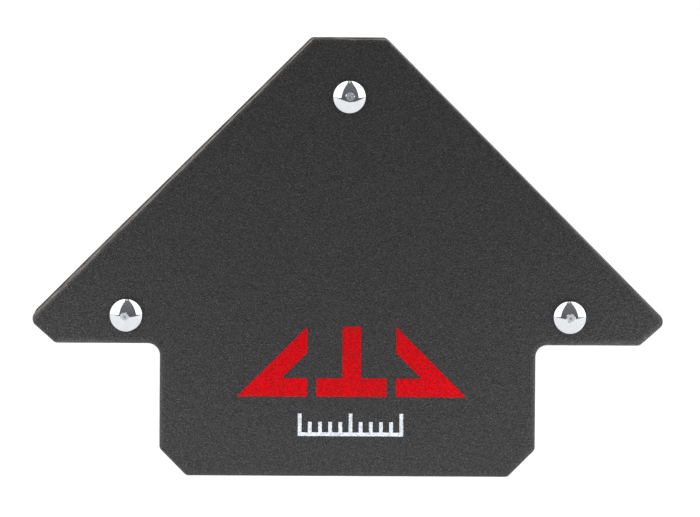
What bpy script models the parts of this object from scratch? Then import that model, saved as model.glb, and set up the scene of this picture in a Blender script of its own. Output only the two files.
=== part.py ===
"""Arrow-shaped magnetic welding holder: two steel pole plates riveted over a core of ferrite magnets.

The holder stands upright on its base. +X is to the right, +Y to the rear and +Z up to the apex.
The origin is the middle of the base, halfway between the plates. Lengths are in metres.
"""

import math

import bmesh
import bpy
from mathutils import Matrix, Vector

MM = 0.001

# Driving dimensions of the plates' outline
PLATE_HEIGHT = 83.2 * MM
APEX_HEIGHT = 90.3 * MM  # where the two 45 degree working sides would meet
TIP_HALF_SPAN = 60.65 * MM  # where a working side meets its tip chamfer, before rounding
TIP_CHAMFER_ANGLE = math.radians(41.3)
WING_UNDERSIDE_HEIGHT = 25.1 * MM
BLOCK_HALF_WIDTH = 35.7 * MM
FOOT_CHAMFER = 5.2 * MM
CORNER_RADIUS = 1.3 * MM
TIP_RADIUS = 1.7 * MM
NOTCH_RADIUS = 2.2 * MM

# Thicknesses, front to rear
OVERALL_THICKNESS = 13.0 * MM
PLATE_THICKNESS = 1.5 * MM
FIT_GAP = 0.3 * MM  # what resting pieces keep between them
OUTER_EDGE_RADIUS = 0.35 * MM
INNER_EDGE_CHAMFER = 0.12 * MM

# Rivets and the spacer sleeves round them
RIVET_PLACES = {
    "top": (0.0, 72.1 * MM),
    "left": (-42.1 * MM, 30.5 * MM),
    "right": (42.1 * MM, 30.5 * MM),
}
SHANK_RADIUS = 1.75 * MM
HEAD_RADIUS = 3.1 * MM
HEAD_PROUD = 1.7 * MM  # from the plate's face to the crown
HEAD_FOOT = 0.15 * MM  # the short straight wall at the head's rim
MARK_RADIUS = 0.85 * MM  # the shallow round mark that the rivet set leaves in the formed head
MARK_DEPTH = 0.1 * MM
EYE_RADIUS = 0.32 * MM  # the deeper eye in the middle of the mark
EYE_DEPTH = 0.3 * MM
HOLE_RADIUS = SHANK_RADIUS + FIT_GAP
SLEEVE_RADIUS = 3.0 * MM

# The moulded spacer core and the ferrite blocks in it
CORE_RECESS = 1.0 * MM
CORE_WALL = 1.2 * MM
CORE_EDGE_CHAMFER = 0.25 * MM
MAGNET_SIDE = 20.0 * MM
MAGNET_CHAMFER = 0.4 * MM
POCKET_SIDE = MAGNET_SIDE + 2 * FIT_GAP
POCKET_CORNER_RADIUS = 0.25 * MM
FIRST_POCKET = 24.0 * MM  # from the apex along a working side to the first pocket
BASE_POCKET_BOTTOM = 4.6 * MM
WAFFLE_ROWS = 3
WAFFLE_CELL = 8.8 * MM
WAFFLE_RIB = 1.4 * MM

ROUND_SEGMENTS = 40
DOME_SEGMENTS = 9
ARC_STEP = math.radians(15)

INNER_FACE = OVERALL_THICKNESS / 2 - PLATE_THICKNESS
CORE_THICKNESS = 2 * (INNER_FACE - FIT_GAP)
ROOT_HALF = math.sqrt(0.5)

FINISHES = {
    "powder_coat": ((0.040, 0.040, 0.041), 0.55, 0.0),
    "zinc_plate": ((0.72, 0.73, 0.75), 0.22, 1.0),
    "moulded_nylon": ((0.018, 0.018, 0.019), 0.5, 0.0),
    "ferrite": ((0.075, 0.073, 0.072), 0.75, 0.0),
    "aluminium": ((0.62, 0.63, 0.64), 0.35, 1.0),
}


def clear_scene():
    for obj in list(bpy.data.objects):
        bpy.data.objects.remove(obj)


def finish_material(name):
    """The Principled material for one finish, made once."""
    material = bpy.data.materials.get(name)
    if material is None:
        colour, roughness, metallic = FINISHES[name]
        material = bpy.data.materials.new(name)
        material.use_nodes = True
        shader = material.node_tree.nodes["Principled BSDF"]
        shader.inputs["Base Color"].default_value = (*colour, 1.0)
        shader.inputs["Roughness"].default_value = roughness
        shader.inputs["Metallic"].default_value = metallic
    return material


def add_object(name, shape, finish=None):
    """A bmesh becomes a named object. One with no finish is a cutter, which is never rendered."""
    bmesh.ops.recalc_face_normals(shape, faces=shape.faces)
    mesh = bpy.data.meshes.new(name)
    shape.to_mesh(mesh)
    shape.free()
    mesh.shade_smooth()
    mesh.set_sharp_from_angle(angle=math.radians(35))
    obj = bpy.data.objects.new(name, mesh)
    bpy.context.scene.collection.objects.link(obj)
    if finish is None:
        obj.hide_render = True
        obj.display_type = "WIRE"
    else:
        mesh.materials.append(finish_material(finish))
    return obj


def cut_with(obj, cutter):
    boolean = obj.modifiers.new("cut", "BOOLEAN")
    boolean.operation = "DIFFERENCE"
    boolean.solver = "EXACT"
    boolean.object = cutter


# ---------------------------------------------------------------- the arrow outline


def arrow_corners():
    """Corners of the plate, counter-clockwise seen from the front, each (x, z, rounding radius)."""
    top_half = APEX_HEIGHT - PLATE_HEIGHT
    tip_height = APEX_HEIGHT - TIP_HALF_SPAN
    tip_run = (tip_height - WING_UNDERSIDE_HEIGHT) / math.tan(TIP_CHAMFER_ANGLE)
    right_side = [
        (BLOCK_HALF_WIDTH - FOOT_CHAMFER, 0.0, CORNER_RADIUS),
        (BLOCK_HALF_WIDTH, FOOT_CHAMFER, CORNER_RADIUS),
        (BLOCK_HALF_WIDTH, WING_UNDERSIDE_HEIGHT, NOTCH_RADIUS),
        (TIP_HALF_SPAN - tip_run, WING_UNDERSIDE_HEIGHT, CORNER_RADIUS),
        (TIP_HALF_SPAN, tip_height, TIP_RADIUS),
        (top_half, PLATE_HEIGHT, CORNER_RADIUS),
    ]
    left_side = [(-x, z, radius) for x, z, radius in reversed(right_side)]
    return right_side + left_side


def inset_corners(corners, distance):
    """The same outline with every side moved inwards. A notch's rounding grows, and the others shrink."""
    moved = []
    for i, (x, z, radius) in enumerate(corners):
        here = Vector((x, z))
        into = (here - Vector(corners[i - 1][:2])).normalized()
        out = (Vector(corners[(i + 1) % len(corners)][:2]) - here).normalized()
        turn = into.x * out.y - into.y * out.x
        normals = Vector((-into.y, into.x)), Vector((-out.y, out.x))
        bisector = (normals[0] + normals[1]).normalized()
        place = here + bisector * (distance / bisector.dot(normals[0]))
        change = distance if turn < 0 else -distance
        moved.append((place.x, place.y, max(radius + change, 0.3 * MM)))
    return moved


def rounded_outline(corners):
    """Each corner becomes an arc of its own radius, tangent to both sides."""
    points = []
    for i, (x, z, radius) in enumerate(corners):
        here = Vector((x, z))
        back = (Vector(corners[i - 1][:2]) - here).normalized()
        ahead = (Vector(corners[(i + 1) % len(corners)][:2]) - here).normalized()
        half_angle = back.angle(ahead) / 2
        centre = here + (back + ahead).normalized() * (radius / math.sin(half_angle))
        start = here + back * (radius / math.tan(half_angle)) - centre
        sweep = math.pi - 2 * half_angle
        if back.x * ahead.y - back.y * ahead.x > 0:
            sweep = -sweep
        steps = max(2, round(abs(sweep) / ARC_STEP))
        for k in range(steps + 1):
            points.append(centre + Matrix.Rotation(sweep * k / steps, 2) @ start)
    return points


# ---------------------------------------------------------------- building blocks


def prism(outline, rear, front):
    """A bmesh of the outline extruded from y = rear to y = front, with its front and rear rim edges."""
    shape = bmesh.new()
    loop = [shape.verts.new((p.x, rear, p.y)) for p in outline]
    face = shape.faces.new(loop)
    grown = bmesh.ops.extrude_face_region(shape, geom=[face])["geom"]
    for item in grown:
        if isinstance(item, bmesh.types.BMVert):
            item.co.y = front
    rims = {
        side: [e for e in shape.edges if all(abs(v.co.y - side) < 1e-7 for v in e.verts)]
        for side in (rear, front)
    }
    return shape, rims[rear], rims[front]


def bevel_edges(shape, edges, width, segments):
    bmesh.ops.bevel(
        shape,
        geom=edges,
        offset=width,
        offset_type="OFFSET",
        segments=segments,
        profile=0.5,
        affect="EDGES",
        clamp_overlap=True,
    )


def add_cylinder(shape, x, z, radius, depth):
    """A cylinder along Y, centred on the holder's middle plane."""
    along_y = Matrix.Translation((x, 0, z)) @ Matrix.Rotation(math.radians(90), 4, "X")
    bmesh.ops.create_cone(
        shape,
        cap_ends=True,
        segments=ROUND_SEGMENTS,
        radius1=radius,
        radius2=radius,
        depth=depth,
        matrix=along_y,
    )


def add_block(shape, x, z, side, depth, tilt, edge_radius):
    """A square block with softened edges along Y, turned by tilt about Y."""
    place = Matrix.Translation((x, 0, z)) @ Matrix.Rotation(tilt, 4, "Y")
    made = bmesh.ops.create_cube(shape, size=1.0, matrix=Matrix.Diagonal((side, depth, side, 1)))
    corners = made["verts"]
    upright = {
        e
        for v in corners
        for e in v.link_edges
        if abs(e.verts[0].co.y - e.verts[1].co.y) > depth / 2
    }
    bmesh.ops.transform(shape, matrix=place, verts=corners)
    bevel_edges(shape, list(upright), edge_radius, 2)


def turned(profile):
    """A closed profile of (radius, y) turned about the Y axis."""
    shape = bmesh.new()
    loop = [shape.verts.new((r, y, 0)) for r, y in profile]
    edges = [shape.edges.new((a, b)) for a, b in zip(loop, loop[1:] + loop[:1])]
    bmesh.ops.spin(
        shape,
        geom=loop + edges,
        cent=(0, 0, 0),
        axis=(0, 1, 0),
        angle=2 * math.pi,
        steps=ROUND_SEGMENTS,
        use_duplicate=False,
    )
    bmesh.ops.remove_doubles(shape, verts=shape.verts, dist=1e-6)
    return shape


def beside_working_side(along, inward, side):
    """(x, z) of a point at a distance along a working side from the apex, and inwards from it."""
    x = (along - inward) * ROOT_HALF
    z = APEX_HEIGHT - (along + inward) * ROOT_HALF
    return side * x, z


# ---------------------------------------------------------------- the pieces


def make_plate(name, facing):
    """A stamped pole plate. facing is -1 for the front plate and +1 for the rear one."""
    inner = facing * INNER_FACE
    outer = facing * OVERALL_THICKNESS / 2
    shape, inner_rim, outer_rim = prism(rounded_outline(arrow_corners()), inner, outer)
    bevel_edges(shape, outer_rim, OUTER_EDGE_RADIUS, 3)
    inner_rim = [e for e in shape.edges if all(abs(v.co.y - inner) < 1e-7 for v in e.verts)]
    bevel_edges(shape, inner_rim, INNER_EDGE_CHAMFER, 1)
    plate = add_object(name, shape, "powder_coat")

    holes = bmesh.new()
    for x, z in RIVET_PLACES.values():
        add_cylinder(holes, x, z, HOLE_RADIUS, 2 * OVERALL_THICKNESS)
    cut_with(plate, add_object(name + "_holes", holes))


def magnet_places():
    """Name of each ferrite block to its (x, z, tilt): two beside each working side, three in the base."""
    places = {}
    from_side = CORE_RECESS + CORE_WALL + POCKET_SIDE / 2
    for side, side_name in ((-1, "left"), (1, "right")):
        for row, row_name in enumerate(("upper", "lower")):
            along = FIRST_POCKET + POCKET_SIDE / 2 + row * (POCKET_SIDE + CORE_WALL)
            x, z = beside_working_side(along, from_side, side)
            places[f"magnet_{side_name}_{row_name}"] = (x, z, math.radians(45))
    for column, name in ((-1, "left"), (0, "middle"), (1, "right")):
        x = column * (POCKET_SIDE + CORE_WALL)
        places[f"magnet_base_{name}"] = (x, BASE_POCKET_BOTTOM + POCKET_SIDE / 2, 0.0)
    return places


def make_spacer_core():
    """The moulded frame between the plates: a rim, a pocket for each magnet, bosses and waffle ribs."""
    corners = inset_corners(arrow_corners(), CORE_RECESS)
    half = CORE_THICKNESS / 2
    shape, rear_rim, front_rim = prism(rounded_outline(corners), half, -half)
    bevel_edges(shape, rear_rim + front_rim, CORE_EDGE_CHAMFER, 1)
    core = add_object("spacer_core", shape, "moulded_nylon")

    through = 2 * CORE_THICKNESS
    cutter = bmesh.new()
    for x, z, tilt in magnet_places().values():
        add_block(cutter, x, z, POCKET_SIDE, through, tilt, POCKET_CORNER_RADIUS)
    for x, z in RIVET_PLACES.values():
        add_cylinder(cutter, x, z, SLEEVE_RADIUS + FIT_GAP, through)
    pitch = WAFFLE_CELL + WAFFLE_RIB
    for row in range(WAFFLE_ROWS):
        for column in range(WAFFLE_ROWS - row):
            along = FIRST_POCKET + WAFFLE_CELL / 2 + row * pitch
            inward = FIRST_POCKET + WAFFLE_CELL / 2 + column * pitch
            x, z = beside_working_side(along, inward, 1)
            add_block(cutter, x, z, WAFFLE_CELL, through, math.radians(45), POCKET_CORNER_RADIUS)
    cut_with(core, add_object("spacer_core_pockets", cutter))


def make_magnets():
    for name, (x, z, tilt) in magnet_places().items():
        shape = bmesh.new()
        size = Matrix.Diagonal((MAGNET_SIDE, CORE_THICKNESS, MAGNET_SIDE, 1))
        bmesh.ops.create_cube(shape, size=1.0, matrix=size)
        bevel_edges(shape, list(shape.edges), MAGNET_CHAMFER, 1)
        magnet = add_object(name, shape, "ferrite")
        magnet.location = (x, 0, z)
        magnet.rotation_euler = (0, tilt, 0)


def make_sleeves():
    half = CORE_THICKNESS / 2
    profile = [
        (HOLE_RADIUS, -half),
        (SLEEVE_RADIUS, -half),
        (SLEEVE_RADIUS, half),
        (HOLE_RADIUS, half),
    ]
    for place, (x, z) in RIVET_PLACES.items():
        sleeve = add_object(f"sleeve_{place}", turned(profile), "aluminium")
        sleeve.location = (x, 0, z)


def head_profile(crown, marked):
    """A domed head from its middle out to its rim and in to the shank, as (radius, y)."""
    underside = HEAD_PROUD - FIT_GAP
    dome_height = underside - HEAD_FOOT
    dome_radius = (HEAD_RADIUS**2 + dome_height**2) / (2 * dome_height)
    widest = math.asin(HEAD_RADIUS / dome_radius)
    start = math.asin(MARK_RADIUS / dome_radius) if marked else 0.0
    highest = dome_radius * math.cos(start)
    points = []
    if marked:
        points += [(0.0, EYE_DEPTH), (0.7 * EYE_RADIUS, EYE_DEPTH), (EYE_RADIUS, MARK_DEPTH)]
        points += [(0.85 * MARK_RADIUS, 0.8 * MARK_DEPTH)]
    for k in range(DOME_SEGMENTS + 1):
        angle = start + (widest - start) * k / DOME_SEGMENTS
        points.append((dome_radius * math.sin(angle), highest - dome_radius * math.cos(angle)))
    points += [(HEAD_RADIUS, underside), (SHANK_RADIUS, underside)]
    return [(radius, crown - math.copysign(depth, crown)) for radius, depth in points]


def make_rivets():
    crown = OVERALL_THICKNESS / 2 + HEAD_PROUD
    front = head_profile(-crown, marked=True)
    rear = head_profile(crown, marked=False)
    for place, (x, z) in RIVET_PLACES.items():
        rivet = add_object(f"rivet_{place}", turned(front + rear[::-1]), "zinc_plate")
        rivet.location = (x, 0, z)


def main():
    clear_scene()
    make_plate("front_plate", -1)
    make_plate("rear_plate", 1)
    make_spacer_core()
    make_magnets()
    make_sleeves()
    make_rivets()


main()
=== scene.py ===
"""Looks of the arrow-shaped magnetic welding holder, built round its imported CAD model.

The CAD frame is metres, +Z up to the apex, +X to the right and the printed front plate facing -Y.
"""

import math

import bmesh
import bpy
from mathutils import Matrix, Vector, noise


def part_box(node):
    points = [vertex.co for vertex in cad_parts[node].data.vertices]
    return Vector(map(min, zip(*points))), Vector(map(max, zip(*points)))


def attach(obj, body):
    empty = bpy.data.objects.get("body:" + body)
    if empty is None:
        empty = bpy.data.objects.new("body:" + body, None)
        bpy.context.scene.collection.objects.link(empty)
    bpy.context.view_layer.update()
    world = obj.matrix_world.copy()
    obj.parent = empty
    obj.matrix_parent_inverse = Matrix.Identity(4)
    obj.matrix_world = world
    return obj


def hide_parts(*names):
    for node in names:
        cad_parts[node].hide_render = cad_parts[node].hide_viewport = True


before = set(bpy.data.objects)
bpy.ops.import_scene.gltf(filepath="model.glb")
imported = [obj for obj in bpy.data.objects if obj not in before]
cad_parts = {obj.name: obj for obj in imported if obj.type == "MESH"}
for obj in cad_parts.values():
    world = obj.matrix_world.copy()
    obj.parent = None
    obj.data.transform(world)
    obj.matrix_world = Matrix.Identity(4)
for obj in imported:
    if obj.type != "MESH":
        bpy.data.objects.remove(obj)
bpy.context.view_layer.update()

MM = 0.001

# The plates' outline, as the CAD has it
FRONT_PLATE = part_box("front_plate")
PLATE_HEIGHT = FRONT_PLATE[1].z
FACE_Y = -FRONT_PLATE[0].y  # from the middle of the thickness to a plate's outer face
INNER_Y = -FRONT_PLATE[1].y  # and to its inner face
APEX_HEIGHT = 90.3 * MM
TIP_HALF_SPAN = 60.65 * MM
TIP_CHAMFER_ANGLE = math.radians(41.3)
WING_UNDERSIDE_HEIGHT = 25.1 * MM
BLOCK_HALF_WIDTH = 35.7 * MM
FOOT_CHAMFER = 5.2 * MM
CORNER_RADIUS = 1.3 * MM
TIP_RADIUS = 1.7 * MM
NOTCH_RADIUS = 2.2 * MM
HOLE_RADIUS = 2.05 * MM

# How a stamped, coated and ground plate ends at its outline
COAT_RADIUS = 0.42 * MM
ROLL_WIDTH = 1.25 * MM  # the shallow roll-over that stamping leaves along the outer face
ROLL_DEPTH = 0.27 * MM
ROLL_SHARE = 1.1  # of that depth, on the block
TIP_ROLL = 1.2  # what the roll-over gains by the wing tips
LOWER_LEFT_LOSS = 0.85  # share of it that a side facing down to the left loses
LOWER_LEFT_LIMIT = 0.75  # cosine of the angle from there within which a side begins to lose it
INNER_CHAMFER = 0.12 * MM
EDGE_WAVE = 0.03 * MM
EDGE_WAVE_RATE = 350  # per metre, as the other rates

# The bare bevels along the ground working sides
GROUND_LEFT = 0.53 * MM
GROUND_TOP = 0.30 * MM
GROUND_RIGHT = 0.31 * MM
FLAT_BEVEL = 0.1 * MM  # a narrower bevel is partly the coat's round rim
BEVEL_SLOPE = 0.75  # depth of a bevel over its width
BEVEL_SHARE = 1.15  # of its stated width, before what it loses
BEVEL_WAVE = 0.25
BEVEL_WAVE_RATE = 120
LEFT_TAPER = 0.50  # share of its width that the left bevel loses from the base's height to the top
RIGHT_LOSS = 0.3  # share that the right bevel loses all along

# The moulded core
CORE_RECESS = 1.0 * MM
CLAMP_GAP = 0.01 * MM
BEAD_HALF_WIDTH = 0.25 * MM
BEAD_HEIGHT = 0.10 * MM

# Rivets
RIVETS = ("top", "left", "right")
HEAD_RADIUS = 3.1 * MM
SHANK_RADIUS = 1.75 * MM
RIM_ANGLE = math.radians(40)
DOME_RADIUS = HEAD_RADIUS / math.sin(RIM_ANGLE)
RIM_ROUND = 0.03 * MM
RIM_UNDERCUT = 0.02 * MM
MARK_RADIUS = 0.85 * MM
MARK_DEPTH = 0.02 * MM
MARK_TILT = math.tan(math.radians(4.5))  # the punch leaned, so the mark faces a little downwards
MARK_EDGE = 0.97  # share of its radius within which the mark leans
MARK_REACH = 2.0 * MM  # how far out the dome gives way to a mark off its middle
MARK_SHIFTS = {
    "top": (0.09 * MM, 0.0),
    "left": (-0.22 * MM, -0.24 * MM),
    "right": (0.12 * MM, -0.09 * MM),
}
EYE_RADIUS = 0.24 * MM
EYE_DEPTH = 0.17 * MM

# Printed marks on the front plate
INK_THICKNESS = 0.035 * MM
INK_WAVE = 0.045 * MM
INK_WAVE_RATE = 2500
INK_SEED = 0.3
RED_LEFT, RED_BOTTOM = -21.0 * MM, 15.2 * MM
GLYPH_SIDE = 13.3 * MM
GLYPH_GAP = 1.8 * MM
GLYPH_STROKE = 3.5 * MM
SCALE_LEFT, SCALE_BOTTOM = -9.4 * MM, 7.7 * MM
SCALE_LENGTH = 20 * MM
SCALE_LINE = 0.7 * MM
SCALE_TICKS = 10
LONG_TICK, SHORT_TICK = 4.3 * MM, 2.7 * MM

# How finely the meshes follow their curves
RIM_STEPS = 7
ROLL_STEPS = 8
ARC_STEPS = 10
SIDE_STEP = 0.6 * MM
HOLE_STEPS = 32
DOME_STEPS = 24
TURN_STEPS = 96
INK_STEP = 0.35 * MM
TOUCHING = 0.01 * MM
SAME_PLACE = 1e-7
ON_MIDDLE = 1e-6  # as near to the plane Y = 0 as a cut leaves a vertex

# Colours, a darker and a lighter one where a finish varies
COAT_DARK, COAT_LIGHT = (0.0084, 0.0083, 0.0084), (0.0270, 0.0268, 0.0272)
COAT_SPECK = (0.12, 0.117, 0.122)
WARM_GRAIN, COOL_GRAIN = (1.06, 0.985, 0.94), (0.95, 0.985, 1.07)
WARM_RIM = (1.12, 1.0, 0.9)
STEEL_DARK, STEEL_LIGHT = (0.060, 0.053, 0.047), (0.28, 0.263, 0.247)
ZINC_DARK, ZINC_LIGHT = (0.665, 0.685, 0.715), (0.74, 0.755, 0.775)
# painted shade: the punched eye's plating is darkened to stand in for the shade in its pit
PAINTED_EYE_SHADE = (0.34, 0.34, 0.35)
RED_DARK, RED_LIGHT = (0.36, 0.0005, 0.003), (0.62, 0.0015, 0.006)
WHITE_DARK, WHITE_LIGHT = (0.46, 0.49, 0.53), (0.74, 0.77, 0.82)
UNDER_INK = (0.02, 0.02, 0.02)
NYLON_DARK, NYLON_LIGHT = (0.013, 0.013, 0.014), (0.026, 0.026, 0.027)
FERRITE_DARK, FERRITE_LIGHT = (0.045, 0.043, 0.042), (0.095, 0.093, 0.092)
SLEEVE_DARK, SLEEVE_LIGHT = (0.55, 0.56, 0.57), (0.68, 0.69, 0.70)
GRAIN = 3400.0  # cells of the coat's texture in a metre
THIN_INK = 0.22  # how far the coat shows through where the ink is thinnest

# Camera
CAMERA_PLACE = Vector((-0.022, -1.2, 0.106))
CAMERA_TARGET = Vector((0.00042, 0.0, 0.04113))
CAMERA_ROLL = math.radians(0.38)
CAMERA_LENS = 324.3

# Two softboxes: the side each is on, and how far out its foot and its head stand
SOFTBOX_LEVEL = 2.04
SOFTBOXES = {"softbox_left": (-1, 0.31, 0.125), "softbox_right": (1, 0.395, 0.225)}
SOFTBOX_FRONT, SOFTBOX_BACK = -0.42, 0.10
SOFTBOX_LOW, SOFTBOX_SHOULDER, SOFTBOX_HIGH = 0.03, 0.9, 1.6
SOFTBOX_WALL = 1.1

# A small warm lamp overhead, in the gap between them
LAMP_COLOUR, LAMP_LEVEL = (1.0, 0.96, 0.62), 1.0
LAMP_LEFT, LAMP_RIGHT = -0.04, 0.10
LAMP_FRONT, LAMP_BACK = -0.43, 0.05
LAMP_LOW, LAMP_HIGH = 1.05, 1.61

# The table
TABLE_LEVEL = 0.96
TABLE_GREY = 0.15
TABLE_GLOWS = [  # brighter patches of the table: x and y of the middle, width, depth and level
    (-0.090, -0.030, 0.090, 0.045, 4.4),
    (0.0, -0.017, 0.080, 0.020, 1.5),
    (0.095, -0.030, 0.100, 0.045, 5.5),
]
GLOW_HEIGHT = 0.00005
TABLE_EDGE = [  # the table's front edge bows in where the photographer stands
    (-1.2, -0.45),
    (-0.5, -0.38),
    (-0.24, -0.29),
    (-0.10, -0.22),
    (0.0, -0.168),
    (0.09, -0.17),
    (0.2, -0.21),
    (0.4, -0.25),
    (1.2, -0.40),
]
TABLE_REAR = 6.0

# The room: dim in front, a little lighter overhead, and bright behind the table
ROOM_COLOUR = (0.96, 0.98, 1.0)
ROOM_LOW, ROOM_HIGH, ROOM_BEHIND = 0.15, 0.21, 0.85


# ---------------------------------------------------------------- node helpers


def new_material(name):
    """A material whose tree starts with an output and a Principled shader."""
    material = bpy.data.materials.new(name)
    material.use_nodes = True
    return material, material.node_tree, material.node_tree.nodes["Principled BSDF"]


def node(tree, kind, **settings):
    made = tree.nodes.new(kind)
    for key, value in settings.items():
        setattr(made, key, value)
    return made


def link(tree, source, target):
    tree.links.new(source, target)


def set_inputs(made, **values):
    for key, value in values.items():
        made.inputs[key.replace("_", " ")].default_value = value


def object_coordinates(tree):
    return node(tree, "ShaderNodeTexCoord").outputs["Object"]


def noise_of(tree, vector, scale, detail, roughness):
    made = node(tree, "ShaderNodeTexNoise")
    link(tree, vector, made.inputs["Vector"])
    set_inputs(made, Scale=scale, Detail=detail, Roughness=roughness)
    return made.outputs["Fac"]


def attribute_of(tree, name):
    return node(tree, "ShaderNodeAttribute", attribute_name=name).outputs["Fac"]


def feed(tree, value, socket):
    """Give a socket a number, a colour or another node's output."""
    if isinstance(value, (int, float)):
        socket.default_value = value
    elif isinstance(value, tuple):
        socket.default_value = (*value, 1.0)
    else:
        link(tree, value, socket)


def remap(tree, value, from_low, from_high, to_low, to_high, smooth=False):
    made = node(tree, "ShaderNodeMapRange")
    if smooth:
        made.interpolation_type = "SMOOTHSTEP"
    link(tree, value, made.inputs["Value"])
    made.inputs["From Min"].default_value = from_low
    made.inputs["From Max"].default_value = from_high
    made.inputs["To Min"].default_value = to_low
    made.inputs["To Max"].default_value = to_high
    return made.outputs["Result"]


def maths(tree, operation, *values):
    made = node(tree, "ShaderNodeMath", operation=operation)
    for socket, value in zip(made.inputs, values):
        feed(tree, value, socket)
    return made.outputs["Value"]


def mix_values(tree, factor, first, second):
    """A Mix node's numbers are its sockets 2 and 3."""
    made = node(tree, "ShaderNodeMix", data_type="FLOAT")
    for socket, value in ((made.inputs["Factor"], factor), (made.inputs[2], first), (made.inputs[3], second)):
        feed(tree, value, socket)
    return made.outputs[0]


def mix_colours(tree, factor, first, second, blend="MIX"):
    """A Mix node's colours are its sockets 6 and 7, and its output 2."""
    made = node(tree, "ShaderNodeMix", data_type="RGBA", blend_type=blend)
    for socket, value in ((made.inputs["Factor"], factor), (made.inputs[6], first), (made.inputs[7], second)):
        feed(tree, value, socket)
    return made.outputs[2]


def colour_ramp(tree, value, low, high, first, second):
    """The first colour where the value is low, turning to the second where it is high."""
    return mix_colours(tree, remap(tree, value, low, high, 0.0, 1.0), first, second)


def bump(tree, height, strength, distance):
    made = node(tree, "ShaderNodeBump")
    set_inputs(made, Strength=strength, Distance=distance)
    link(tree, height, made.inputs["Height"])
    return made.outputs["Normal"]


def stretched(tree, vector, scale):
    made = node(tree, "ShaderNodeMapping")
    link(tree, vector, made.inputs["Vector"])
    made.inputs["Scale"].default_value = scale
    return made.outputs["Vector"]


# ---------------------------------------------------------------- materials


def coat_height(tree, place):
    """The powder coat's fine pebbled surface, as a height."""
    pebbles = noise_of(tree, place, GRAIN, 2.0, 0.6)
    swell = noise_of(tree, place, GRAIN / 5, 1.0, 0.5)
    return maths(tree, "MULTIPLY_ADD", swell, 0.5, pebbles)


def coat_colour(tree, place, fleck, nearness):
    """Dark and lighter grains with a few bright specks, whose hue wanders and turns warmer at the rim."""
    coat = colour_ramp(tree, fleck, 0.37, 0.63, COAT_DARK, COAT_LIGHT)
    speck = noise_of(tree, place, GRAIN * 0.9, 0.0, 0.5)
    coat = mix_colours(tree, remap(tree, speck, 0.62, 0.80, 0.0, 0.31), coat, COAT_SPECK)
    hue = noise_of(tree, place, GRAIN * 0.5, 1.0, 0.5)
    hue = colour_ramp(tree, hue, 0.35, 0.65, WARM_GRAIN, COOL_GRAIN)
    tint = mix_colours(tree, nearness, hue, WARM_RIM)
    return mix_colours(tree, 1.0, coat, tint, blend="MULTIPLY")


def bare_mask(tree, place, nearness, ground):
    """1 where grinding has taken the coat away, up to a ragged border, and 0 elsewhere."""
    ragged = maths(tree, "MULTIPLY_ADD", noise_of(tree, place, 1500.0, 3.0, 0.6), 0.7, -0.35)
    wander = maths(tree, "MULTIPLY_ADD", noise_of(tree, place, 260.0, 2.0, 0.5), 0.7, -0.35)
    rag = maths(tree, "ADD", ragged, wander)
    reach = maths(tree, "ADD", maths(tree, "SUBTRACT", nearness, 1.0), ground)
    reach = maths(tree, "MULTIPLY_ADD", rag, ground, reach)
    border = remap(tree, reach, -0.02, 0.02, 0.0, 1.0)
    return maths(tree, "MULTIPLY", border, maths(tree, "GREATER_THAN", ground, 0.01))


def grinding_marks(tree, place, nearness):
    """Streaks on the bare bevels, as a value from 0 to 1."""
    axes = node(tree, "ShaderNodeSeparateXYZ")
    link(tree, place, axes.inputs[0])
    along = maths(tree, "ADD", axes.outputs["X"], axes.outputs["Z"])
    streak = node(tree, "ShaderNodeCombineXYZ")
    link(tree, maths(tree, "MULTIPLY", along, 250.0), streak.inputs[0])
    link(tree, maths(tree, "MULTIPLY", nearness, 14.0), streak.inputs[1])
    return noise_of(tree, streak.outputs[0], 1.0, 3.0, 0.6)


def powder_coat():
    """Fine-textured black powder coat, ground away to bare steel where the edges' "ground" says so."""
    material, tree, shader = new_material("powder_coat")
    place = object_coordinates(tree)
    nearness = attribute_of(tree, "nearness")  # 1 at the outline, 0 where the roll-over ends
    ground = attribute_of(tree, "ground")  # how far in the grinding reaches, on the same scale
    bare = bare_mask(tree, place, nearness, ground)
    grind = grinding_marks(tree, place, nearness)
    fleck = noise_of(tree, place, GRAIN * 1.2, 1.0, 0.5)

    coat = coat_colour(tree, place, fleck, nearness)
    steel = colour_ramp(tree, grind, 0.35, 0.65, STEEL_DARK, STEEL_LIGHT)
    link(tree, mix_colours(tree, bare, coat, steel), shader.inputs["Base Color"])
    link(tree, bare, shader.inputs["Metallic"])

    coat_rough = remap(tree, fleck, 0.3, 0.7, 0.36, 0.26)
    steel_rough = remap(tree, grind, 0.3, 0.7, 0.38, 0.55)
    link(tree, mix_values(tree, bare, coat_rough, steel_rough), shader.inputs["Roughness"])

    height = mix_values(tree, bare, coat_height(tree, place), maths(tree, "MULTIPLY", grind, 0.4))
    link(tree, bump(tree, height, 1.0, 0.14 * MM), shader.inputs["Normal"])
    return material


def zinc():
    """Bright zinc plating with faint clouding, rougher in the punched mark, and darker in its eye as painted
    shade of that small pit.
    """
    material, tree, shader = new_material("zinc_plate")
    place = object_coordinates(tree)
    cloud = noise_of(tree, place, 900.0, 3.0, 0.6)
    bright = colour_ramp(tree, cloud, 0.3, 0.7, ZINC_DARK, ZINC_LIGHT)
    punched = attribute_of(tree, "punched")  # 1 in the mark, 2 in its eye
    # the eye's darker colour is painted shade of its pit
    link(tree, colour_ramp(tree, punched, 1.0, 2.0, bright, PAINTED_EYE_SHADE), shader.inputs["Base Color"])
    set_inputs(shader, Metallic=1.0)
    polish = remap(tree, cloud, 0.3, 0.7, 0.05, 0.09)
    punched_rough = remap(tree, punched, 0.0, 1.0, 0.0, 0.3)
    link(tree, maths(tree, "ADD", punched_rough, polish), shader.inputs["Roughness"])
    fine = noise_of(tree, place, 5200.0, 2.0, 0.5)
    link(tree, bump(tree, fine, 0.12, 0.01 * MM), shader.inputs["Normal"])
    return material


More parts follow.
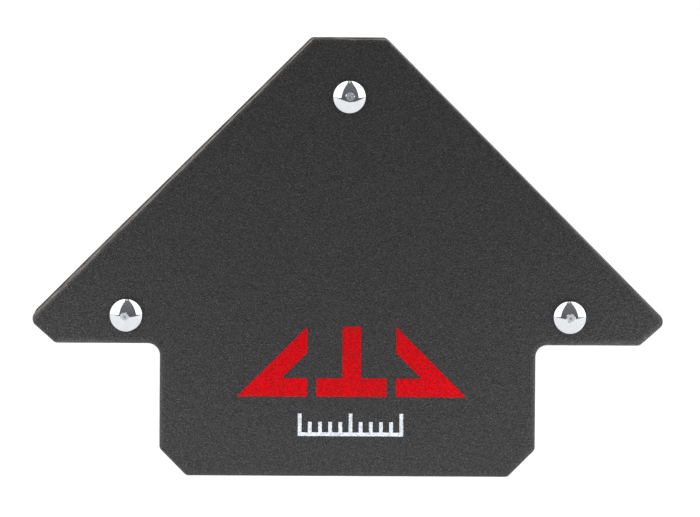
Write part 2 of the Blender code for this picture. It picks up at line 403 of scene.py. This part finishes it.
def ink(name, dark, light):
    """Screen-print ink that follows the coat's texture."""
    material, tree, shader = new_material(name)
    place = object_coordinates(tree)
    height = coat_height(tree, place)
    blotch = noise_of(tree, place, GRAIN * 0.8, 2.0, 0.5)
    colour = colour_ramp(tree, blotch, 0.35, 0.65, dark, light)
    thin = remap(tree, height, 0.55, 0.85, THIN_INK, 0.0)
    link(tree, mix_colours(tree, thin, colour, UNDER_INK), shader.inputs["Base Color"])
    link(tree, remap(tree, blotch, 0.3, 0.7, 0.6, 0.4), shader.inputs["Roughness"])
    shader.inputs["Specular IOR Level"].default_value = 0.06
    link(tree, bump(tree, height, 0.7, 0.06 * MM), shader.inputs["Normal"])
    return material


def moulded_nylon():
    """Black nylon with a spark-eroded texture."""
    material, tree, shader = new_material("moulded_nylon")
    pits = noise_of(tree, object_coordinates(tree), 3600.0, 3.0, 0.6)
    link(tree, colour_ramp(tree, pits, 0.3, 0.7, NYLON_DARK, NYLON_LIGHT), shader.inputs["Base Color"])
    link(tree, remap(tree, pits, 0.3, 0.7, 0.5, 0.62), shader.inputs["Roughness"])
    link(tree, bump(tree, pits, 0.4, 0.03 * MM), shader.inputs["Normal"])
    return material


def ferrite():
    """Sintered ferrite, dark grey with a fine grain."""
    material, tree, shader = new_material("ferrite")
    grain = noise_of(tree, object_coordinates(tree), 2200.0, 4.0, 0.65)
    link(tree, colour_ramp(tree, grain, 0.3, 0.7, FERRITE_DARK, FERRITE_LIGHT), shader.inputs["Base Color"])
    link(tree, remap(tree, grain, 0.3, 0.7, 0.6, 0.8), shader.inputs["Roughness"])
    link(tree, bump(tree, grain, 0.3, 0.04 * MM), shader.inputs["Normal"])
    return material


def sleeve_metal():
    """Turned aluminium with fine rings round its length."""
    material, tree, shader = new_material("sleeve_aluminium")
    place = stretched(tree, object_coordinates(tree), (0.05, 1.0, 0.05))
    rings = noise_of(tree, place, 5000.0, 2.0, 0.5)
    link(tree, colour_ramp(tree, rings, 0.3, 0.7, SLEEVE_DARK, SLEEVE_LIGHT), shader.inputs["Base Color"])
    set_inputs(shader, Metallic=1.0)
    link(tree, remap(tree, rings, 0.3, 0.7, 0.28, 0.4), shader.inputs["Roughness"])
    link(tree, bump(tree, rings, 0.2, 0.01 * MM), shader.inputs["Normal"])
    return material


# ---------------------------------------------------------------- mesh helpers


def add_piece(name, shape, material, smooth=True):
    """A bmesh becomes a piece that rides on the holder."""
    bmesh.ops.recalc_face_normals(shape, faces=shape.faces)
    mesh = bpy.data.meshes.new(name)
    shape.to_mesh(mesh)
    shape.free()
    if smooth:
        mesh.shade_smooth()
        mesh.set_sharp_from_angle(angle=math.radians(40))
    mesh.materials.append(material)
    obj = bpy.data.objects.new(name, mesh)
    bpy.context.scene.collection.objects.link(obj)
    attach(obj, "root")
    return obj


def bridge(shape, first, second):
    """Quads between two closed rings of as many vertices."""
    for i in range(len(first)):
        j = (i + 1) % len(first)
        shape.faces.new((first[i], first[j], second[j], second[i]))


def ring_edges(shape, ring):
    """The edges round a closed ring of vertices, made where they are missing."""
    pairs = zip(ring, ring[1:] + ring[:1])
    return [shape.edges.get(pair) or shape.edges.new(pair) for pair in pairs]


def middle_of(node_name):
    """(x, z) of the middle of a CAD node."""
    low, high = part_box(node_name)
    return (low.x + high.x) / 2, (low.z + high.z) / 2


# ---------------------------------------------------------------- plates


def arrow_corners():
    """Corners counter-clockwise from the front: (x, z, radius, bare bevel of the side that follows)."""
    top_half = APEX_HEIGHT - PLATE_HEIGHT
    tip_height = APEX_HEIGHT - TIP_HALF_SPAN
    tip_run = (tip_height - WING_UNDERSIDE_HEIGHT) / math.tan(TIP_CHAMFER_ANGLE)
    foot = BLOCK_HALF_WIDTH - FOOT_CHAMFER
    wing = TIP_HALF_SPAN - tip_run
    return [
        (foot, 0.0, CORNER_RADIUS, 0.0),
        (BLOCK_HALF_WIDTH, FOOT_CHAMFER, CORNER_RADIUS, 0.0),
        (BLOCK_HALF_WIDTH, WING_UNDERSIDE_HEIGHT, NOTCH_RADIUS, 0.0),
        (wing, WING_UNDERSIDE_HEIGHT, CORNER_RADIUS, 0.0),
        (TIP_HALF_SPAN, tip_height, TIP_RADIUS, GROUND_RIGHT),
        (top_half, PLATE_HEIGHT, CORNER_RADIUS, GROUND_TOP),
        (-top_half, PLATE_HEIGHT, CORNER_RADIUS, GROUND_LEFT),
        (-TIP_HALF_SPAN, tip_height, TIP_RADIUS, 0.0),
        (-wing, WING_UNDERSIDE_HEIGHT, CORNER_RADIUS, 0.0),
        (-BLOCK_HALF_WIDTH, WING_UNDERSIDE_HEIGHT, NOTCH_RADIUS, 0.0),
        (-BLOCK_HALF_WIDTH, FOOT_CHAMFER, CORNER_RADIUS, 0.0),
        (-foot, 0.0, CORNER_RADIUS, 0.0),
    ]


def corner_arc(corners, i):
    """Samples round one corner: (place, outward normal, width of the bare bevel there)."""
    x, z, radius, bevel_ahead = corners[i]
    bevel_behind = corners[i - 1][3]
    here = Vector((x, z))
    back = (Vector(corners[i - 1][:2]) - here).normalized()
    ahead = (Vector(corners[(i + 1) % len(corners)][:2]) - here).normalized()
    half = back.angle(ahead) / 2
    centre = here + (back + ahead).normalized() * (radius / math.sin(half))
    start = here + back * (radius / math.tan(half)) - centre
    sweep = math.pi - 2 * half
    outward = 1.0
    if back.x * ahead.y - back.y * ahead.x > 0:  # a notch's corner, which turns the other way
        sweep = -sweep
        outward = -1.0
    arc = []
    for k in range(ARC_STEPS + 1):
        share = k / ARC_STEPS
        arm = Matrix.Rotation(sweep * share, 2) @ start
        bevel = bevel_behind + (bevel_ahead - bevel_behind) * share
        arc.append((centre + arm, arm.normalized() * outward, bevel))
    return arc


def outline_samples():
    """Samples along the whole rounded outline, as in corner_arc."""
    corners = arrow_corners()
    arcs = [corner_arc(corners, i) for i in range(len(corners))]
    samples = []
    for arc, following in zip(arcs, arcs[1:] + arcs[:1]):
        samples += arc
        end, _, bevel = arc[-1]
        start, normal, _ = following[0]
        run = start - end
        steps = max(1, round(run.length / SIDE_STEP))
        samples += [(end + run * (k / steps), normal, bevel) for k in range(1, steps)]
    return samples


def uneven_samples(seed):
    """The outline's samples with the bevels as a grinder leaves them, wider here and narrower there."""
    samples = []
    for place, normal, bevel in outline_samples():
        wave = noise.noise(Vector((place.x, seed, place.y)) * BEVEL_WAVE_RATE)
        lost = LEFT_TAPER * place.y / PLATE_HEIGHT if place.x < 0 else RIGHT_LOSS
        samples.append((place, normal, bevel * (BEVEL_SHARE + BEVEL_WAVE * wave - lost)))
    return samples


def rim_profile(bevel, roll):
    """(inset, depth below the face) from the side wall up to the flat face."""
    grinding = min(1.0, bevel / FLAT_BEVEL)
    width = max(bevel, FLAT_BEVEL)
    profile = []
    for k in range(RIM_STEPS):
        share = k / (RIM_STEPS - 1)
        turn = math.pi / 2 * share
        round_inset, round_depth = COAT_RADIUS * (1 - math.cos(turn)), COAT_RADIUS * (1 - math.sin(turn))
        inset = round_inset + (width * share - round_inset) * grinding
        depth = round_depth + (BEVEL_SLOPE * width * (1 - share) - round_depth) * grinding
        profile.append((inset, depth))
    last = profile[-1][0]
    profile += [(last + (ROLL_WIDTH - last) * k / ROLL_STEPS, 0.0) for k in range(1, ROLL_STEPS + 1)]
    return [(inset, depth + roll * (1 - inset / ROLL_WIDTH) ** 2) for inset, depth in profile]


def roll_depth(place, normal):
    """The edge rolls over more at the wing tips, and hardly at all on the left foot and tip chamfers."""
    outer = max(0.0, abs(place.x) - BLOCK_HALF_WIDTH) / (TIP_HALF_SPAN - BLOCK_HALF_WIDTH)
    facing_there = -(normal.x + normal.y) / math.sqrt(2)
    lower_left = max(0.0, facing_there - LOWER_LEFT_LIMIT) / (1 - LOWER_LEFT_LIMIT)
    return ROLL_DEPTH * (ROLL_SHARE + TIP_ROLL * outer) * (1 - LOWER_LEFT_LOSS * lower_left)


def add_ring(shape, samples, seed, steps, worn):
    """A ring of a plate's rim: each sample moves in and back to its (inset, y) in steps."""
    nearness = shape.verts.layers.float["nearness"]
    ground = shape.verts.layers.float["ground"]
    ring = []
    for (place, normal, bevel), (inset, y) in zip(samples, steps):
        swing = noise.noise(Vector((place.x, seed, place.y)) * EDGE_WAVE_RATE)
        wave = EDGE_WAVE * (0.5 + 0.5 * swing)
        at = place - normal * (inset + wave * (1 - min(1.0, inset / ROLL_WIDTH)))
        vert = shape.verts.new((at.x, y, at.y))
        vert[nearness] = 1 - inset / ROLL_WIDTH
        vert[ground] = worn * bevel / ROLL_WIDTH
        ring.append(vert)
    return ring


def add_rivet_holes(shape, face, inner):
    """The walls of the rivet holes between two heights in y. Gives the holes' edges at each height."""
    turns = [2 * math.pi * k / HOLE_STEPS for k in range(HOLE_STEPS)]
    edges = {face: [], inner: []}
    for where in RIVETS:
        x, z = middle_of("rivet_" + where)
        rim = [(x + HOLE_RADIUS * math.cos(turn), z + HOLE_RADIUS * math.sin(turn)) for turn in turns]
        circles = {y: [shape.verts.new((u, y, v)) for u, v in rim] for y in (face, inner)}
        bridge(shape, circles[face], circles[inner])
        for y, circle in circles.items():
            edges[y] += ring_edges(shape, circle)
    return edges


def make_plate(name, node_name, facing, material, seed):
    """A pole plate with its stamped roll-over, coated rims and ground working sides."""
    shape = bmesh.new()
    shape.verts.layers.float.new("nearness")
    shape.verts.layers.float.new("ground")
    face, inner = facing * FACE_Y, facing * INNER_Y
    samples = uneven_samples(seed)
    count = len(samples)
    wall_worn = 1.0 if facing > 0 else 0.0  # the rear plate's side is worn bare, the front one's isn't
    inner_face = add_ring(shape, samples, seed, [(INNER_CHAMFER, inner)] * count, worn=0.0)
    wall_end = (0.0, inner + facing * INNER_CHAMFER)
    rings = [inner_face, add_ring(shape, samples, seed, [wall_end] * count, worn=wall_worn)]
    profiles = [rim_profile(bevel, roll_depth(place, normal)) for place, normal, bevel in samples]
    for level in zip(*profiles):
        steps = [(inset, face - facing * depth) for inset, depth in level]
        rings.append(add_ring(shape, samples, seed, steps, worn=1.0))
    for first, second in zip(rings, rings[1:]):
        bridge(shape, first, second)
    holes = add_rivet_holes(shape, face, inner)
    for y, rim in ((face, rings[-1]), (inner, inner_face)):
        bmesh.ops.triangle_fill(shape, use_beauty=True, edges=ring_edges(shape, rim) + holes[y])
    plate = add_piece(name, shape, material)
    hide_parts(node_name)


# ---------------------------------------------------------------- core


def make_core(material):
    """The moulded core, clamped between the plates, with a parting bead round its outer wall."""
    shape = bmesh.new()
    shape.from_mesh(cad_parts["spacer_core"].data)
    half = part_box("spacer_core")[1].y
    for vert in shape.verts:
        if abs(vert.co.y) > half - TOUCHING:
            vert.co.y = math.copysign(INNER_Y - CLAMP_GAP, vert.co.y)
    for y in (-BEAD_HALF_WIDTH, 0.0, BEAD_HALF_WIDTH):
        everything = shape.verts[:] + shape.edges[:] + shape.faces[:]
        bmesh.ops.bisect_plane(
            shape, geom=everything, plane_co=(0, y, 0), plane_no=(0, 1, 0), dist=SAME_PLACE
        )
    wall = [(place - normal * CORE_RECESS, normal) for place, normal, _ in outline_samples()]
    crest = [vert for vert in shape.verts if abs(vert.co.y) < ON_MIDDLE]
    for vert in crest:
        at = Vector((vert.co.x, vert.co.z))
        place, normal = min(wall, key=lambda sample: (sample[0] - at).length)
        if (place - at).length < CORE_RECESS:
            vert.co.x += normal.x * BEAD_HEIGHT
            vert.co.z += normal.y * BEAD_HEIGHT
    core = add_piece("moulded_core", shape, material, smooth=False)
    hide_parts("spacer_core")


# ---------------------------------------------------------------- rivets


def punched_profile(proud):
    """The punched mark and the eye in its middle, as (radius, height above the plate)."""
    return [
        (0.0, proud - EYE_DEPTH),
        (0.6 * EYE_RADIUS, proud - 0.97 * EYE_DEPTH),
        (0.9 * EYE_RADIUS, proud - 0.6 * EYE_DEPTH),
        (1.15 * EYE_RADIUS, proud - 1.5 * MARK_DEPTH),
        (0.5 * MARK_RADIUS, proud - MARK_DEPTH),
        (0.82 * MARK_RADIUS, proud - MARK_DEPTH),
        (0.93 * MARK_RADIUS, proud - 1.3 * MARK_DEPTH),
    ]


def head_profile(proud, marked):
    """A rivet head from its middle out to its foot on the plate, as (radius, height above the plate)."""
    start = math.asin(MARK_RADIUS / DOME_RADIUS) if marked else 0.0
    highest = DOME_RADIUS * math.cos(start)
    points = punched_profile(proud) if marked else []
    for k in range(DOME_STEPS + 1):
        angle = start + (RIM_ANGLE - start) * k / DOME_STEPS
        points.append((DOME_RADIUS * math.sin(angle), proud - highest + DOME_RADIUS * math.cos(angle)))
    rim_radius, rim_height = points[-1]
    points[-1] = (rim_radius - RIM_ROUND, rim_height + RIM_ROUND / 2)
    return points + [(rim_radius, rim_height - RIM_ROUND), (rim_radius - RIM_UNDERCUT, 0.0)]


def press_mark(shape, where, crown):
    """Lean the punched mark a little downwards and move it off the head's middle."""
    base = crown - math.sqrt(DOME_RADIUS**2 - MARK_RADIUS**2)
    shift_x, shift_z = MARK_SHIFTS[where]
    for vert in shape.verts:
        out = math.hypot(vert.co.x, vert.co.z)
        if vert.co.y > -FACE_Y - TOUCHING or out > MARK_REACH:
            continue
        share = min(1.0, (MARK_REACH - out) / (MARK_REACH - MARK_RADIUS))
        in_mark = out < MARK_EDGE * MARK_RADIUS
        if in_mark:
            vert.co.y -= MARK_TILT * (vert.co.z + MARK_RADIUS)
        vert.co.x += share * shift_x
        vert.co.z += share * shift_z
        if not in_mark:
            out = math.hypot(vert.co.x, vert.co.z)
            vert.co.y = -FACE_Y - base - math.sqrt(DOME_RADIUS**2 - out**2)


def label_punched(shape):
    """Tell the plating where the front head was punched: 1 in the mark, 2 in its eye, where the plating is
    darkened as painted shade, 0 elsewhere.
    """
    punched = shape.verts.layers.float.new("punched")
    for vert in shape.verts:
        out = math.hypot(vert.co.x, vert.co.z)
        if vert.co.y < -FACE_Y and out < 0.9 * MARK_RADIUS:
            vert[punched] = 2.0 if out < EYE_RADIUS else 1.0


def make_rivet(where, material):
    """A set rivet, turned round its axis from the front head through the shank to the rear head."""
    low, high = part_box("rivet_" + where)
    crown = -low.y - FACE_Y - 2 * MARK_RADIUS * MARK_TILT + MARK_DEPTH
    front = [(r, -FACE_Y - h) for r, h in head_profile(crown, marked=True)]
    rear = [(r, FACE_Y + h) for r, h in head_profile(high.y - FACE_Y, marked=False)]
    shank = [(SHANK_RADIUS, -FACE_Y), (SHANK_RADIUS, FACE_Y)]
    shape = bmesh.new()
    loop = [shape.verts.new((r, y, 0)) for r, y in front + shank + rear[::-1]]
    edges = [shape.edges.new(pair) for pair in zip(loop, loop[1:])]
    bmesh.ops.spin(
        shape, geom=loop + edges, cent=(0, 0, 0), axis=(0, 1, 0), angle=2 * math.pi, steps=TURN_STEPS
    )
    bmesh.ops.remove_doubles(shape, verts=shape.verts, dist=SAME_PLACE)
    label_punched(shape)
    press_mark(shape, where, crown)
    x, z = middle_of("rivet_" + where)
    bmesh.ops.transform(shape, matrix=Matrix.Translation((x, 0, z)), verts=shape.verts)
    piece = add_piece(f"set_rivet_{where}", shape, material)
    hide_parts("rivet_" + where)


# ---------------------------------------------------------------- printed marks


def uneven_edge(outline):
    """An outline's corners, with points between them that stray as ink does on the coat's texture."""
    points = []
    for a, b in zip(outline, outline[1:] + outline[:1]):
        run = Vector(b) - Vector(a)
        steps = max(1, round(run.length / INK_STEP))
        for k in range(steps):
            at = Vector(a) + run * (k / steps)
            if k:
                across = Vector((-run.y, run.x)).normalized()
                at += across * INK_WAVE * noise.noise(Vector((at.x, INK_SEED, at.y)) * INK_WAVE_RATE)
            points.append(at)
    return points


def add_ink_patch(shape, outline):
    """A thin raised patch of ink."""
    points = uneven_edge(outline)
    low = [shape.verts.new((p.x, -FACE_Y, p.y)) for p in points]
    high = [shape.verts.new((p.x, -FACE_Y - INK_THICKNESS, p.y)) for p in points]
    bridge(shape, low, high)
    for ring in (low, high):
        bmesh.ops.triangle_fill(shape, use_beauty=True, edges=ring_edges(shape, ring))


def leaning_glyph(mirrored):
    """A base bar with an arm that leans 45 degrees to the right, or to the left when mirrored."""
    side, stroke = GLYPH_SIDE, GLYPH_STROKE
    lean = stroke * math.sqrt(2)
    outline = [
        (0, 0),
        (side, 0),
        (side, stroke),
        (stroke + lean, stroke),
        (side, side - lean),
        (side, side),
    ]
    return [(side - x, z) for x, z in outline] if mirrored else outline


def upright_glyph():
    """A base bar with an arm that stands square on its middle."""
    side, stroke = GLYPH_SIDE, GLYPH_STROKE
    left, right = (side - stroke) / 2, (side + stroke) / 2
    return [
        (0, 0),
        (side, 0),
        (side, stroke),
        (right, stroke),
        (right, side),
        (left, side),
        (left, stroke),
        (0, stroke),
    ]


def make_angle_marks(material):
    """Three unlettered pictograms: a base with an arm at 45, 90 and 135 degrees."""
    shape = bmesh.new()
    for k, outline in enumerate((leaning_glyph(False), upright_glyph(), leaning_glyph(True))):
        left = RED_LEFT + k * (GLYPH_SIDE + GLYPH_GAP)
        add_ink_patch(shape, [(left + x, RED_BOTTOM + z) for x, z in outline])
    add_piece("print_angle_marks", shape, material)


def make_scale_marks(material):
    """An unnumbered rule with a tick about every two millimetres."""
    shape = bmesh.new()
    outline = [(SCALE_LEFT, SCALE_BOTTOM), (SCALE_LEFT + SCALE_LENGTH, SCALE_BOTTOM)]
    base = SCALE_BOTTOM + SCALE_LINE
    for k in range(SCALE_TICKS, -1, -1):
        top = SCALE_BOTTOM + (LONG_TICK if k % 5 == 0 else SHORT_TICK)
        left = SCALE_LEFT + (SCALE_LENGTH - SCALE_LINE) * k / SCALE_TICKS
        right = left + SCALE_LINE
        if k < SCALE_TICKS:
            outline.append((right, base))
        outline += [(right, top), (left, top)]
        if k > 0:
            outline.append((left, base))
    add_ink_patch(shape, outline)
    add_piece("print_scale_marks", shape, material)


# ---------------------------------------------------------------- studio


def make_camera():
    camera = bpy.data.objects.new("camera", bpy.data.cameras.new("camera"))
    bpy.context.scene.collection.objects.link(camera)
    aim = (CAMERA_TARGET - CAMERA_PLACE).to_track_quat("-Z", "Y").to_matrix().to_4x4()
    camera.matrix_world = Matrix.Translation(CAMERA_PLACE) @ aim @ Matrix.Rotation(CAMERA_ROLL, 4, "Z")
    camera.data.lens = CAMERA_LENS
    camera.data.clip_start = 0.05
    camera.data.clip_end = 50.0
    bpy.context.scene.camera = camera


def emitter(name, colour, strength):
    material = bpy.data.materials.new(name)
    material.use_nodes = True
    tree = material.node_tree
    tree.nodes.clear()
    output = node(tree, "ShaderNodeOutputMaterial")
    light = node(tree, "ShaderNodeEmission")
    feed(tree, colour, light.inputs["Color"])
    feed(tree, strength, light.inputs["Strength"])
    link(tree, light.outputs[0], output.inputs["Surface"])
    return material


def add_panels(name, corners, faces, material, seen=False):
    """Flat panels of the studio, hidden from the camera unless they are to be seen."""
    mesh = bpy.data.meshes.new(name)
    mesh.from_pydata(corners, [], faces)
    mesh.materials.append(material)
    panels = bpy.data.objects.new(name, mesh)
    bpy.context.scene.collection.objects.link(panels)
    panels.visible_camera = seen


def add_softbox(name, material, foot, head, wall):
    """A softbox that leans in on one side and bends back overhead: a front, a roof and a side panel."""
    corners = [
        (foot, SOFTBOX_FRONT, SOFTBOX_LOW),
        (head, SOFTBOX_FRONT, SOFTBOX_SHOULDER),
        (head, SOFTBOX_FRONT, SOFTBOX_HIGH),
        (head, SOFTBOX_BACK, SOFTBOX_HIGH),
        (wall, SOFTBOX_BACK, SOFTBOX_HIGH),
        (wall, SOFTBOX_FRONT, SOFTBOX_HIGH),
        (wall, SOFTBOX_FRONT, SOFTBOX_LOW),
        (wall, SOFTBOX_BACK, SOFTBOX_LOW),
    ]
    add_panels(name, corners, [(0, 1, 2, 5, 6), (2, 3, 4, 5), (5, 4, 7, 6)], material)


def add_lamp():
    """A front and a top panel of a small warm lamp."""
    warm = emitter("ceiling_lamp", LAMP_COLOUR, LAMP_LEVEL)
    upper_edge = [(LAMP_LEFT, LAMP_FRONT, LAMP_HIGH), (LAMP_RIGHT, LAMP_FRONT, LAMP_HIGH)]
    lower_edge = [(LAMP_LEFT, LAMP_FRONT, LAMP_LOW), (LAMP_RIGHT, LAMP_FRONT, LAMP_LOW)]
    rear_edge = [(LAMP_LEFT, LAMP_BACK, LAMP_HIGH), (LAMP_RIGHT, LAMP_BACK, LAMP_HIGH)]
    add_panels("lamp_front", lower_edge + upper_edge[::-1], [(0, 1, 2, 3)], warm)
    add_panels("lamp_top", upper_edge + rear_edge[::-1], [(0, 1, 2, 3)], warm)


def lay_table():
    """A white table that glows evenly, with brighter patches beside and in front of the holder."""
    table = bpy.data.materials.new("table")
    table.use_nodes = True
    shader = table.node_tree.nodes["Principled BSDF"]
    shader.inputs["Base Color"].default_value = (TABLE_GREY, TABLE_GREY, TABLE_GREY, 1.0)
    shader.inputs["Roughness"].default_value = 1.0
    shader.inputs["Emission Color"].default_value = (1.0, 1.0, 1.0, 1.0)
    shader.inputs["Emission Strength"].default_value = TABLE_LEVEL
    half_width = TABLE_EDGE[-1][0]
    corners = [(x, y, 0) for x, y in TABLE_EDGE]
    corners += [(half_width, TABLE_REAR, 0), (-half_width, TABLE_REAR, 0)]
    add_panels("floor", corners, [tuple(range(len(corners)))], table, seen=True)

    for x, y, width, depth, level in TABLE_GLOWS:
        light = bpy.data.lights.new("table_glow", "AREA")
        light.shape = "RECTANGLE"
        light.size, light.size_y = width, depth
        light.energy = level * math.pi * width * depth
        glow = bpy.data.objects.new("table_glow", light)
        bpy.context.scene.collection.objects.link(glow)
        glow.location = (x, y, GLOW_HEIGHT)
        glow.rotation_euler = (math.pi, 0, 0)
        glow.visible_camera = False
        glow.visible_glossy = False


def light_room():
    """A dim room in front and a bright wall behind, with a plain white backdrop for the camera."""
    world = bpy.data.worlds.new("studio")
    bpy.context.scene.world = world
    world.use_nodes = True
    tree = world.node_tree
    tree.nodes.clear()
    axes = node(tree, "ShaderNodeSeparateXYZ")
    link(tree, node(tree, "ShaderNodeTexCoord").outputs["Generated"], axes.inputs[0])
    behind = remap(tree, axes.outputs["Y"], -0.1, 0.4, 0.0, 1.0, smooth=True)
    in_front = remap(tree, axes.outputs["Z"], 0.0, 0.9, ROOM_LOW, ROOM_HIGH)
    room = node(tree, "ShaderNodeBackground")
    feed(tree, ROOM_COLOUR, room.inputs["Color"])
    feed(tree, mix_values(tree, behind, in_front, ROOM_BEHIND), room.inputs["Strength"])
    backdrop = node(tree, "ShaderNodeBackground")
    feed(tree, (1.0, 1.0, 1.0), backdrop.inputs["Color"])
    choice = node(tree, "ShaderNodeMixShader")
    link(tree, node(tree, "ShaderNodeLightPath").outputs["Is Camera Ray"], choice.inputs[0])
    link(tree, room.outputs[0], choice.inputs[1])
    link(tree, backdrop.outputs[0], choice.inputs[2])
    output = node(tree, "ShaderNodeOutputWorld")
    link(tree, choice.outputs[0], output.inputs["Surface"])


def make_studio():
    """A white table under two tall softboxes that lean in from left and right, a dim gap between them."""
    view = bpy.context.scene.view_settings
    view.view_transform = "Standard"
    view.look = "None"
    softbox = emitter("softbox", (1.0, 1.0, 1.0), SOFTBOX_LEVEL)
    for name, (side, foot, head) in SOFTBOXES.items():
        add_softbox(name, softbox, side * foot, side * head, side * SOFTBOX_WALL)
    add_lamp()
    lay_table()
    light_room()


# ---------------------------------------------------------------- assembly


def finish_hidden_nodes():
    """The CAD nodes that stay get their procedural finishes."""
    finishes = {"magnet": ferrite(), "sleeve": sleeve_metal()}
    for name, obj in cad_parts.items():
        finish = finishes.get(name.split("_")[0])
        if finish:
            for slot in obj.material_slots:
                slot.material = finish


def main():
    make_camera()
    make_studio()
    coat, plating = powder_coat(), zinc()
    make_plate("coated_front_plate", "front_plate", -1, coat, seed=0.11)
    make_plate("coated_rear_plate", "rear_plate", 1, coat, seed=0.47)
    make_core(moulded_nylon())
    for where in RIVETS:
        make_rivet(where, plating)
    make_angle_marks(ink("red_ink", RED_DARK, RED_LIGHT))
    make_scale_marks(ink("white_ink", WHITE_DARK, WHITE_LIGHT))
    finish_hidden_nodes()


main()
